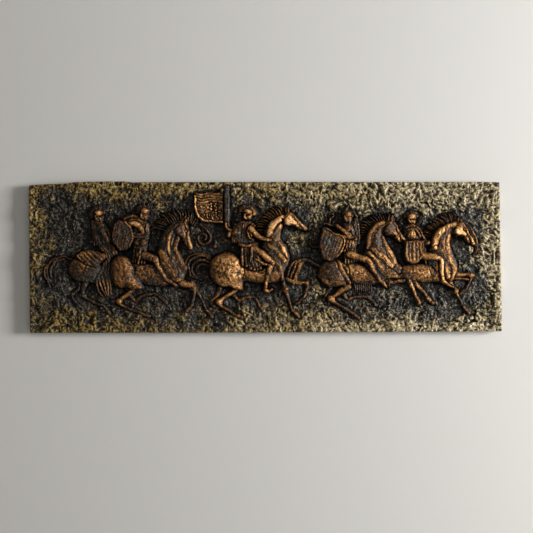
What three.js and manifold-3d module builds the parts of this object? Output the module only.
// A relief wall plaque: five horsemen galloping to the right across a rough ground, one with a banner.
// It is one casting. Millimetres, +Z up the wall, +X to the viewer's right, the front faces -Y, and the
// origin is the middle of the flat back, which lies against the wall at y = 0.
//
// The figures are laid out on a drawing board: x to the right, y up the plaque, z out of the wall. A path
// is a row of stations [x, y, half width]. "lift" is how far a form's axis stands off the ground, and
// "squash" or "rise" how far its crown swells beyond that. The last lines stand the board up.
import * as THREE from "three";
import { mergeVertices } from "three/addons/utils/BufferGeometryUtils.js";
import Module from "manifold-3d";

const wasm = await Module();
wasm.setup();

// ---- driving dimensions ----
const WIDTH = 1200; // of the board, left to right
const HEIGHT = 380; // of the board, bottom to top
const GROUND = 17; // thickness of the board in the middle of the field
const BORDER_RISE = 5; // how much thicker the board is near its edges
const BORDER_WIDTH = 45; // over which the field rises to the border
const STUCCO = 2.2; // height of the lumps of the rough ground
const STUCCO_CELL = 54; // spacing of those lumps
const ROOT = 6; // depth inside the board at which every raised form starts
const SQUASH = 0.5; // crown of a body form over its half width
const LIMB_SQUASH = 0.9; // the same for legs, arms and straps, which are rounder
const STRAND_SQUASH = 0.8; // the same for locks of hair

// The board was cast a little out of true: how far each corner is off the nominal rectangle.
const CORNER_OFFSET = {
  topLeft: [-1, -8],
  topRight: [-3, 0],
  bottomRight: [3, -0.2],
  bottomLeft: [2, -4.2],
};
const CHIP = { from: -480, to: -352, rise: 3 }; // the proud stretch of the top edge, left of the middle

// ---- the figures ----
const HORSES = {
  first: {
    bodies: [
      { at: [-457, -32], size: [42, 33], turn: 0, lift: 4, rise: 14 }, // haunch
      { at: [-438, -5], size: [41, 21], turn: -12, lift: 9, rise: 11 }, // saddle cloth
    ],
    muscles: [{ path: [[-432, -40, 24], [-405, -45, 23], [-384, -45, 20]], lift: 1 }],
    legs: [
      { path: [[-488, -44, 7], [-472, -70, 7], [-480, -86, 6], [-493, -99, 5]], lift: 2 },
      { path: [[-462, -70, 8], [-461, -100, 6], [-410, -125, 4.5], [-399, -141, 5.5]], lift: 2 },
    ],
    tail: {
      lift: 2,
      locks: [
        [[-492, -9, 5], [-510, -4, 4], [-528, -7, 4], [-538, -26, 2.5]],
        [[-536, -9, 3], [-556, -30, 3], [-557, -50, 4], [-546, -75, 2]],
      ],
    },
  },
  second: {
    bodies: [{ at: [-362, -38], size: [29, 41], turn: 4, lift: 8, rise: 17 }],
    muscles: [
      { path: [[-358, -40, 28], [-340, -60, 19], [-314, -79, 5]], lift: 9 }, // thigh, drawn to the stifle
      { path: [[-338, -30, 20], [-305, -42, 24], [-268, -56, 21]], lift: 4 }, // barrel
      { path: [[-262, -8, 28], [-242, -30, 26], [-220, -50, 18]], lift: 5 }, // shoulder
      { path: [[-248, 0, 28], [-256, 34, 22], [-246, 62, 17], [-222, 80, 13]], lift: 5 }, // neck
      { path: [[-226, 48, 5], [-231, 22, 7], [-221, -2, 8], [-207, -32, 7]], lift: 12 }, // windpipe
    ],
    head: {
      cheek: { at: [-204, 64], size: [15, 16], turn: 0, lift: 8, rise: 9 },
      nose: { path: [[-191, 74, 8], [-187, 48, 7], [-190, 22, 5]], lift: 8 },
      jaw: { path: [[-205, 54, 8], [-199, 38, 6], [-194, 26, 5]], lift: 4 },
    },
    mane: { crest: [[-270, 72], [-255, 88], [-232, 96], [-205, 97], [-180, 86], [-166, 76]], count: 10, length: 20 },
    legs: [
      { path: [[-346, -84, 11], [-374, -113, 7], [-326, -139, 4.5], [-298, -151, 6]], lift: 3 },
      { path: [[-334, -112, 5], [-314, -99, 6], [-278, -95, 4.5], [-256, -114, 5]], lift: 2 },
      { path: [[-232, -58, 9], [-183, -80, 8], [-187, -121, 4.5], [-200, -136, 5]], lift: 5 },
      { path: [[-188, -68, 8], [-173, -91, 6], [-151, -136, 4.5], [-138, -151, 6]], lift: 3 },
    ],
    tail: {
      lift: 9,
      locks: [
        [[-393, -10, 5], [-393, -50, 5], [-391, -92, 3]],
        [[-403, -16, 5], [-412, -42, 5], [-408, -72, 4], [-404, -98, 3]],
      ],
    },
  },
  third: {
    bodies: [
      { at: [-98, -33], size: [43, 43], turn: 0, lift: 8, rise: 20 },
    ],
    muscles: [
      { path: [[-92, -44, 36], [-76, -64, 20], [-62, -81, 6]], lift: 9 },
      { path: [[-70, -44, 26], [-40, -50, 22], [-6, -50, 21], [18, -42, 22]], lift: 5 },
      { path: [[28, 12, 26], [34, -14, 24], [40, -40, 13]], lift: 6 },
      { path: [[26, 22, 28], [18, 50, 22], [24, 78, 16], [42, 98, 12]], lift: 4 },
      { path: [[12, 24, 6], [32, 14, 8], [51, -10, 8]], lift: 14 }, // shoulder blade
      { path: [[18, 14, 8], [34, -12, 9], [42, -38, 7], [44, -58, 5]], lift: 13 }, // forearm muscle
    ],
    head: {
      cheek: { at: [65, 88], size: [15, 14], turn: -10, lift: 9, rise: 8 },
      nose: { path: [[56, 104, 9], [78, 95, 9], [103, 75, 6]], lift: 7 },
      jaw: { path: [[66, 80, 7], [84, 77, 6], [99, 67, 4]], lift: 4 },
    },
    mane: { crest: [[-18, 58], [-8, 80], [8, 98], [26, 107], [50, 112]], count: 9, length: 17 },
    legs: [
      { path: [[-72, -82, 11], [-119, -115, 7], [-84, -142, 4.5], [-62, -154, 6]], lift: 4 },
      { path: [[-74, -108, 5], [-50, -103, 5], [-28, -106, 4.5], [-13, -130, 6]], lift: 3 },
      { path: [[41, -38, 8], [51, -83, 6.5], [67, -135, 4.5], [82, -151, 6]], lift: 5 },
      { path: [[56, -66, 7], [106, -66, 6.5], [98, -102, 4.5], [78, -118, 5.5]], lift: 3 },
    ],
    tail: {
      lift: 4,
      locks: [
        [[-138, -18, 6], [-160, -6, 5], [-182, -10, 5], [-195, -30, 4], [-186, -49, 3]],
        [[-140, -6, 4], [-164, 4, 4], [-188, -2, 4], [-200, -22, 3]],
        [[-142, -24, 5], [-164, -14, 4], [-182, -26, 4], [-182, -44, 4], [-164, -52, 3]],
      ],
    },
  },
  fourth: {
    bodies: [{ at: [173, -42], size: [36, 34], turn: 0, lift: 8, rise: 15 }],
    muscles: [
      { path: [[176, -36, 30], [194, -52, 18], [213, -68, 6]], lift: 8 },
      { path: [[184, -14, 4], [197, -40, 4], [214, -67, 4]], lift: 19 }, // edge of the thigh
      { path: [[204, -34, 22], [232, -42, 23], [264, -54, 18], [290, -48, 18]], lift: 5 },
      { path: [[288, 10, 28], [308, -12, 26], [325, -32, 16]], lift: 7 },
      { path: [[284, 22, 26], [275, 48, 20], [287, 70, 15], [306, 80, 12]], lift: 6 },
      { path: [[268, 18, 6], [290, 2, 9], [312, -20, 9], [322, -34, 6]], lift: 15 },
    ],
    head: {
      cheek: { at: [310, 65], size: [14, 16], turn: -20, lift: 9, rise: 8 },
      nose: { path: [[316, 78, 10], [335, 60, 9], [353, 37, 6]], lift: 7 },
      jaw: { path: [[314, 54, 7], [332, 44, 6], [346, 31, 4]], lift: 4 },
    },
    mane: { crest: [[240, 52], [250, 70], [264, 84], [286, 92], [310, 90], [338, 82]], count: 9, length: 15 },
    legs: [
      { path: [[206, -72, 14], [164, -108, 7], [216, -140, 5], [236, -153, 6]], lift: 4 },
      { path: [[172, -80, 7], [152, -100, 6], [148, -112, 5]], lift: 2 },
      { path: [[208, -107, 4], [228, -101, 5], [263, -102, 4.5], [279, -122, 6]], lift: 3 },
      { path: [[316, -44, 9], [359, -49, 8], [380, -96, 5], [389, -118, 6]], lift: 6 },
      { path: [[360, -50, 8], [382, -67, 6], [411, -103, 4.5], [425, -118, 6]], lift: 4 },
    ],
    tail: {
      lift: 4,
      locks: [
        [[132, -26, 4], [118, -16, 5], [100, -10, 5], [86, -32, 5], [74, -60, 3]],
        [[92, -10, 4], [76, -18, 4], [67, -38, 4], [61, -60, 3]],
      ],
    },
  },
  fifth: {
    bodies: [],
    muscles: [
      { path: [[364, -40, 16], [392, -42, 20], [424, -44, 18]], lift: 6 },
      { path: [[440, -4, 26], [454, -24, 23], [460, -44, 16]], lift: 5 },
      { path: [[446, 8, 26], [439, 38, 18], [452, 60, 14], [478, 74, 10]], lift: 4 },
      { path: [[430, 24, 7], [435, 46, 9], [450, 66, 9], [478, 78, 6]], lift: 11 },
      { path: [[432, 22, 7], [452, 8, 7], [470, -14, 8], [477, -34, 8], [470, -56, 6]], lift: 12 },
    ],
    head: {
      cheek: { at: [495, 60], size: [15, 13], turn: -30, lift: 9, rise: 8 },
      nose: { path: [[494, 76, 8], [512, 60, 9], [529, 37, 6]], lift: 6 },
      jaw: { path: [[490, 50, 6], [508, 43, 6], [523, 30, 4]], lift: 4 },
    },
    mane: { crest: [[404, 48], [418, 66], [438, 82], [464, 90], [490, 90], [514, 78]], count: 10, length: 16 },
    legs: [
      { path: [[464, -50, 8], [483, -87, 6], [502, -126, 4.5], [516, -143, 5.5]], lift: 4 },
      { path: [[474, -44, 8], [524, -46, 6.5], [511, -80, 4.5], [496, -94, 5]], lift: 3 },
    ],
    tail: { lift: 3, locks: [[[508, 84, 3], [526, 64, 4], [537, 38, 4], [532, 8, 2]]] }, // the blown forelock
  },
};

const RIDERS = {
  first: {
    bodies: [
      { at: [-422, 104], size: [14, 13], turn: 0, lift: 6, rise: 9 }, // head
      { at: [-410, 50], size: [10, 17], turn: 28, lift: 12, rise: 7 }, // bent arm
    ],
    limbs: [
      { path: [[-418, 86, 9], [-412, 66, 16], [-402, 30, 15]], lift: 6 }, // body
      { path: [[-418, 30, 3], [-402, 18, 4], [-386, -2, 4]], lift: 12 }, // folds of the tunic
    ],
    crest: { centre: [-424, 102], radius: 22, from: 20, to: 190, count: 7, length: 9, lift: 4 },
  },
  second: {
    bodies: [
      { at: [-305, 107], size: [12, 16], turn: 14, lift: 8, rise: 9 },
      { at: [-308, 34], size: [9, 9], turn: 0, lift: 16, rise: 6 }, // hand
    ],
    limbs: [
      { path: [[-306, 92, 8], [-314, 68, 15], [-318, 24, 15]], lift: 8 },
      { path: [[-348, 84, 6], [-330, 83, 8], [-316, 76, 8], [-311, 62, 6]], lift: 14 }, // arm
      { path: [[-358, 93, 3], [-340, 102, 3.5], [-320, 98, 3.5], [-304, 76, 3]], lift: 8 }, // cloak bands
      { path: [[-316, 2, 14], [-298, 0, 13], [-279, -6, 10]], lift: 14 }, // thigh
      { path: [[-277, -10, 8], [-266, -32, 8], [-251, -56, 7]], lift: 16 }, // calf
      { path: [[-242, -64, 7], [-230, -70, 6], [-220, -75, 4]], lift: 11 }, // foot
    ],
    crest: { centre: [-306, 110], radius: 22, from: 35, to: 165, count: 6, length: 9, lift: 3 },
    shield: { outline: [[-368, 91], [-345, 76], [-333, 60], [-337, 38], [-349, 19], [-373, 18], [-386, 46], [-382, 74]], lift: 18, rise: 10 },
  },
  third: {
    bodies: [
      { at: [-44, 106], size: [14, 15], turn: 0, lift: 8, rise: 10 },
      { at: [-90, 57], size: [7, 13], turn: -18, lift: 7, rise: 6 }, // far hand
      { at: [-33, -4], size: [21, 28], turn: 14, lift: 17, rise: 5 }, // skirt
    ],
    limbs: [
      { path: [[-46, 90, 9], [-50, 70, 20], [-48, 50, 18], [-42, 32, 14]], lift: 9 },
      { path: [[-74, 76, 12], [-77, 56, 11], [-64, 36, 8]], lift: 5 }, // cloak
      { path: [[-30, 81, 3], [-44, 64, 3.5], [-42, 46, 3], [-32, 40, 3]], lift: 19 }, // sleeve
      { path: [[-32, 68, 12], [-14, 50, 10], [4, 43, 8], [28, 40, 6]], lift: 15 }, // arm
      { path: [[-64, 29, 4], [-42, 27, 4], [-20, 31, 4]], lift: 17 },
      { path: [[-58, 4, 4], [-50, -20, 4], [-32, -31, 4.5], [-10, -30, 5]], lift: 20 }, // hem
      { path: [[-26, 12, 10], [-2, 0, 11], [21, -18, 9]], lift: 20 },
      { path: [[16, -24, 9], [5, -50, 8], [-1, -82, 6]], lift: 16 },
      { path: [[-3, -84, 6], [12, -88, 5], [16, -78, 3]], lift: 9 },
    ],
    crest: { centre: [-42, 108], radius: 21, from: -20, to: 150, count: 8, length: 10, lift: 5 },
  },
  fourth: {
    bodies: [
      { at: [210, 102], size: [12, 17], turn: -10, lift: 7, rise: 9 },
    ],
    limbs: [
      { path: [[204, 116, 7], [212, 128, 4]], lift: 6 }, // helmet peak
      { path: [[214, 70, 14], [214, 46, 17], [210, 20, 16]], lift: 10 },
      { path: [[183, 79, 4], [195, 66, 6], [214, 50, 9]], lift: 17 },
      { path: [[232, 104, 6], [235, 72, 8], [231, 40, 7]], lift: 4 },
      { path: [[218, 4, 13], [240, -1, 12], [260, -8, 10]], lift: 15 },
      { path: [[263, -10, 9], [274, -36, 8], [289, -58, 7]], lift: 16 },
      { path: [[291, -60, 6], [300, -68, 5], [306, -76, 4]], lift: 10 },
      { path: [[170, 106, 6], [166, 88, 3]], lift: 4 }, // sword hilt
    ],
    shield: { outline: [[148, 72], [176, 60], [201, 43], [196, 18], [184, 0], [166, -13], [146, -4], [138, 34]], lift: 18, rise: 11 },
  },
  fifth: {
    bodies: [
      { at: [375, 98], size: [14, 12], turn: 0, lift: 8, rise: 9 },
      { at: [372, 56], size: [14, 16], turn: 0, lift: 12, rise: 6 }, // breastplate
    ],
    limbs: [
      { path: [[374, 76, 12], [376, 56, 19], [378, 38, 19]], lift: 6 },
      { path: [[406, 1, 11], [428, -1, 11], [444, -6, 9]], lift: 15 },
      { path: [[445, -10, 8], [446, -34, 7], [450, -58, 6]], lift: 15 },
      { path: [[452, -62, 6], [463, -71, 5], [476, -78, 4]], lift: 10 },
    ],
    crest: { centre: [375, 98], radius: 20, from: 15, to: 165, count: 6, length: 9, lift: 3 },
    shield: { outline: [[354, 40], [403, 41], [401, 4], [392, -13], [376, -20], [361, -12], [352, 6]], lift: 18, rise: 10 },
  },
};

const BANNER = {
  cloth: { outline: [[-178, 162], [-105, 163], [-106, 84], [-150, 90], [-165, 97], [-175, 122]], lift: 5, rise: 3 },
  limbs: [
    { path: [[-178, 161, 4], [-150, 156, 4], [-120, 160, 4]], lift: 8 }, // top roll
    { path: [[-177, 150, 3], [-174, 120, 3], [-163, 96, 3], [-148, 90, 3], [-110, 86, 3]], lift: 9 }, // hem
    { path: [[-96, 172, 8], [-96, 84, 8]], lift: 6 }, // pole
    { path: [[-112, 170, 5], [-109, 164, 5]], lift: 8 }, // finial
  ],
  // A curling ribbon below the banner: turns of a spiral about its centre.
  ribbon: { centre: [-157, 48], outer: 20, inner: 6, from: 60, turns: -1.4, halfWidth: 3, lift: 4 },
};

// ---- how the forms are faceted ----
const CROWNS = {
  // angles of the points over the crown of a bar's section, 0 at its left edge
  ridge: [90],
  strap: [50, 130],
  limb: [30, 90, 150],
  body: [22, 90, 158],
};
const COMB = {
  lift: 7, // of a mane's face off the ground
  valley: 0.25, // how far out the notches between its tufts are, over the tufts' length
  root: 0.35, // how far in it is rooted, likewise
  rootPoints: 3,
  lean: 0.6, // where along its share of the curve a tuft has its tip
};
const LEAST_STEP = 30; // spacing of the rings along a narrow bar, unless its stations are closer
const RIDGE_SPLAY = 1.8; // width of a ridge inside the board over its width on the drawing
const END_ROUNDING = 0.6; // how far a bar's rounded end runs past its last station, over its half width
const END_NARROWING = 0.6; // the width of that end over the width at the station
const CAP_SLOPES = [0, 38, 72]; // of a large cap, from its rim to its crown, in degrees round the swell
const SMALL_CAP_SLOPES = [18, 62];

// ---- geometry ----
const radians = THREE.MathUtils.degToRad;

// A closed mesh as a solid that can be joined.
function solidOf(geometry) {
  geometry.deleteAttribute("normal");
  geometry.deleteAttribute("uv");
  const merged = mergeVertices(geometry, 1e-4);
  const mesh = new wasm.Mesh({
    numProp: 3,
    vertProperties: new Float32Array(merged.attributes.position.array),
    triVerts: new Uint32Array(merged.index.array),
  });
  return new wasm.Manifold(mesh);
}

// A closed skin over a row of rings, each with the same number of points, ends capped flat.
function skin(rings) {
  const size = rings[0].length;
  const positions = rings.flat(2);
  const index = [];
  for (let ring = 0; ring + 1 < rings.length; ring++) {
    for (let i = 0; i < size; i++) {
      const a = ring * size + i;
      const b = ring * size + ((i + 1) % size);
      index.push(a, b, a + size, b, b + size, a + size);
    }
  }
  const last = (rings.length - 1) * size;
  for (let i = 1; i + 1 < size; i++) {
    index.push(0, i + 1, i, last, last + i, last + i + 1);
  }
  const geometry = new THREE.BufferGeometry();
  geometry.setAttribute("position", new THREE.BufferAttribute(new Float32Array(positions), 3));
  geometry.setIndex(index);
  return geometry;
}

// A rounded bar along a path of stations, standing on the board: a leg, neck or fold. A lock of hair is the
// same with a single ridge for its crown.
function bar({ path, lift, squash, hair = false }) {
  const curve = new THREE.CatmullRomCurve3(path.map((p) => new THREE.Vector3(...p)));
  const widest = Math.max(...path.map((p) => p[2]));
  const crown = hair || widest < 4 ? CROWNS.ridge : widest > 13 ? CROWNS.body : widest > 8 ? CROWNS.limb : CROWNS.strap;
  const gap = curve.getLength() / (path.length - 1); // between two stations
  const perGap = Math.max(1, Math.round(gap / Math.max(LEAST_STEP, widest * 1.6)));
  const steps = perGap * (path.length - 1);
  const rounded = widest > 9.5;
  const rings = [];
  const addRing = (at, along, scale) => {
    const half = at.z * scale;
    const place = (side, height) => [at.x - side * along.y, at.y + side * along.x, height];
    const ring = crown.map((angle) => {
      const height = GROUND + lift + half * squash * Math.sin(radians(angle));
      return place(half * Math.cos(radians(angle)), height);
    });
    const foot = crown.length > 1 ? half : half * RIDGE_SPLAY;
    rings.push([...ring, place(-foot, ROOT), place(foot, ROOT)]);
  };
  for (let i = 0; i <= steps; i++) {
    const at = curve.getPoint(i / steps);
    const along = curve.getTangent(i / steps).setZ(0).normalize();
    const out = along.clone().multiplyScalar(at.z * END_ROUNDING);
    if (rounded && i === 0) addRing(at.clone().sub(out), along, END_NARROWING);
    addRing(at, along, 1);
    if (rounded && i === steps) addRing(at.clone().add(out), along, END_NARROWING);
  }
  return solidOf(skin(rings));
}

// A cap whose plan is an outline, swelling to a crown in the middle: a haunch, head or shield.
function cap(outline, centre, lift, rise) {
  const rings = [];
  const ringAt = (scale, height) =>
    outline.map(([x, y]) => [centre[0] + (x - centre[0]) * scale, centre[1] + (y - centre[1]) * scale, height]);
  rings.push(ringAt(1, ROOT));
  for (const slope of outline.length > 8 ? CAP_SLOPES : SMALL_CAP_SLOPES) {
    rings.push(ringAt(Math.cos(radians(slope)), GROUND + lift + rise * Math.sin(radians(slope))));
  }
  return solidOf(skin(rings));
}

function dome({ at, size, turn, lift, rise }) {
  const sides = Math.max(...size) > 25 ? 13 : 7;
  const c = Math.cos(radians(turn));
  const s = Math.sin(radians(turn));
  const outline = [];
  for (let i = 0; i < sides; i++) {
    const angle = (2 * Math.PI * i) / sides;
    const u = size[0] * Math.cos(angle);
    const v = size[1] * Math.sin(angle);
    outline.push([at[0] + u * c - v * s, at[1] + u * s + v * c]);
  }
  return cap(outline, at, lift, rise);
}

function plate({ outline, lift, rise }) {
  const leftward = [...outline].reverse(); // the outlines run clockwise
  const sum = outline.reduce((total, p) => [total[0] + p[0], total[1] + p[1]], [0, 0]);
  return cap(leftward, [sum[0] / outline.length, sum[1] / outline.length], lift, rise);
}

// A row of pointed tufts cast as one, along a curve and square to it: a hogged mane or a helmet crest.
function comb({ curve, count, length, lift }) {
  const across = (t, reach) => {
    const root = curve.getPoint(t);
    const along = curve.getTangent(t);
    return new THREE.Vector2(root.x - along.y * length * reach, root.y + along.x * length * reach);
  };
  const outline = [];
  for (let i = 0; i < count; i++) {
    outline.push(across(i / count, COMB.valley), across((i + COMB.lean) / count, 1));
  }
  outline.push(across(1, COMB.valley));
  for (let i = COMB.rootPoints; i >= 0; i--) outline.push(across(i / COMB.rootPoints, -COMB.root));
  const flat = new THREE.ExtrudeGeometry(new THREE.Shape(outline), {
    depth: GROUND + lift - ROOT,
    bevelEnabled: false,
  });
  return solidOf(flat.translate(0, 0, ROOT));
}

function mane({ crest, count, length }) {
  const curve = new THREE.CatmullRomCurve3(crest.map(([x, y]) => new THREE.Vector3(x, y, 0)));
  return comb({ curve, count, length, lift: COMB.lift });
}

function helmetCrest({ centre, radius, from, to, count, length, lift }) {
  const curve = new THREE.EllipseCurve(...centre, radius, radius, radians(to), radians(from), true);
  return comb({ curve, count, length, lift });
}

function lock(path, lift) {
  return bar({ path, lift, squash: STRAND_SQUASH, hair: true });
}

function ribbon({ centre, outer, inner, from, turns, halfWidth, lift }) {
  const path = Array.from({ length: 12 }, (_, i) => {
    const t = i / 11;
    const angle = radians(from) + 2 * Math.PI * turns * t;
    const reach = outer + (inner - outer) * t;
    return [centre[0] + reach * Math.cos(angle), centre[1] + reach * Math.sin(angle), halfWidth];
  });
  return bar({ path, lift, squash: STRAND_SQUASH });
}

function horse({ bodies, muscles, head, mane: hair, legs, tail }) {
  const solids = bodies.map(dome);
  muscles.forEach((m) => solids.push(bar({ squash: SQUASH, ...m })));
  if (head) {
    solids.push(dome(head.cheek));
    solids.push(bar({ squash: SQUASH, ...head.nose }));
    solids.push(bar({ squash: SQUASH, ...head.jaw }));
  }
  if (hair) solids.push(mane(hair));
  legs.forEach((leg) => solids.push(bar({ squash: LIMB_SQUASH, ...leg })));
  tail.locks.forEach((path) => solids.push(lock(path, tail.lift)));
  return solids;
}

function rider({ bodies, limbs, crest, shield }) {
  const solids = bodies.map(dome);
  limbs.forEach((limb) => {
    const widest = Math.max(...limb.path.map((p) => p[2]));
    solids.push(bar({ squash: widest > 12 ? SQUASH : LIMB_SQUASH, ...limb }));
  });
  if (crest) solids.push(helmetCrest(crest));
  if (shield) solids.push(plate(shield));
  return solids;
}

function banner() {
  const rolls = BANNER.limbs.map((limb) => bar({ squash: STRAND_SQUASH, ...limb }));
  return [plate(BANNER.cloth), ...rolls, ribbon(BANNER.ribbon)];
}

// The rough ground's height over the back at a point, from a few crossed waves.
function groundHeight(x, y) {
  const inset = Math.min(WIDTH / 2 - Math.abs(x), HEIGHT / 2 - Math.abs(y));
  const border = 1 - THREE.MathUtils.smoothstep(inset, 0, BORDER_WIDTH);
  const waves = Math.sin(x * 0.047 + 2 * Math.sin(y * 0.031)) + Math.sin(y * 0.063 - 2 * Math.sin(x * 0.023));
  return GROUND + BORDER_RISE * border + (STUCCO / 2) * waves;
}

// Where a point of the true rectangle lies on the board as cast.
function asCast(x, y) {
  const u = x / WIDTH + 0.5;
  const v = y / HEIGHT + 0.5;
  const { topLeft, topRight, bottomRight, bottomLeft } = CORNER_OFFSET;
  const bow = (1 - u) ** 8; // the top edge only drops close to its left corner
  const proud = x > CHIP.from && x < CHIP.to ? CHIP.rise : 0;
  const dx = v * (topLeft[0] * (1 - u) + topRight[0] * u) + (1 - v) * (bottomLeft[0] * (1 - u) + bottomRight[0] * u);
  const sag = bottomLeft[1] + (bottomRight[1] - bottomLeft[1]) * u ** 2; // the bottom edge sags to the left
  const dy = v ** 6 * (topLeft[1] * bow + proud) + (1 - v) ** 6 * sag;
  return [x + dx, y + dy];
}

// The board: a rough front on a grid, walls down its four edges, and a flat back fanned about the origin.
function board() {
  const columns = Math.round(WIDTH / STUCCO_CELL);
  const rows = Math.round(HEIGHT / STUCCO_CELL);
  const positions = [];
  const index = [];
  const add = (i, j, front) => {
    const x = WIDTH * (i / columns - 0.5);
    const y = HEIGHT * (j / rows - 0.5);
    positions.push(...asCast(x, y), front ? groundHeight(x, y) : 0);
    return positions.length / 3 - 1;
  };
  const front = [];
  for (let j = 0; j <= rows; j++) {
    front.push(Array.from({ length: columns + 1 }, (_, i) => add(i, j, true)));
  }
  for (let j = 0; j < rows; j++) {
    for (let i = 0; i < columns; i++) {
      const [a, b, c, d] = [front[j][i], front[j][i + 1], front[j + 1][i + 1], front[j + 1][i]];
      index.push(a, b, c, a, c, d);
    }
  }
  const edge = []; // once round the rim, leftward from its first corner seen from the back
  for (let i = 0; i < columns; i++) edge.push([i, 0]);
  for (let j = 0; j < rows; j++) edge.push([columns, j]);
  for (let i = columns; i > 0; i--) edge.push([i, rows]);
  for (let j = rows; j > 0; j--) edge.push([0, j]);
  const back = edge.map(([i, j]) => add(i, j, false));
  positions.push(0, 0, 0);
  const middle = positions.length / 3 - 1;
  edge.forEach(([i, j], k) => {
    const next = (k + 1) % edge.length;
    const [i2, j2] = edge[next];
    index.push(front[j][i], back[k], back[next], front[j][i], back[next], front[j2][i2]);
    index.push(back[next], back[k], middle);
  });
  const geometry = new THREE.BufferGeometry();
  geometry.setAttribute("position", new THREE.BufferAttribute(new Float32Array(positions), 3));
  geometry.setIndex(index);
  return solidOf(geometry);
}

// ---- the plaque ----
const forms = [board(), ...banner()];
for (const place of Object.keys(HORSES)) {
  forms.push(...horse(HORSES[place]), ...rider(RIDERS[place]));
}
const casting = wasm.Manifold.union(forms).getMesh();
const geometry = new THREE.BufferGeometry();
geometry.setAttribute("position", new THREE.BufferAttribute(casting.vertProperties, 3));
geometry.setIndex(new THREE.BufferAttribute(casting.triVerts, 1));

const bronzePaint = new THREE.MeshStandardMaterial({ color: 0x4a3320, roughness: 0.5, metalness: 0.35 });
const plaque = new THREE.Mesh(geometry, bronzePaint);
plaque.name = "relief_plaque";
plaque.rotation.x = Math.PI / 2; // stands the drawing board up against the wall

const group = new THREE.Group();
group.add(plaque);
export default group;
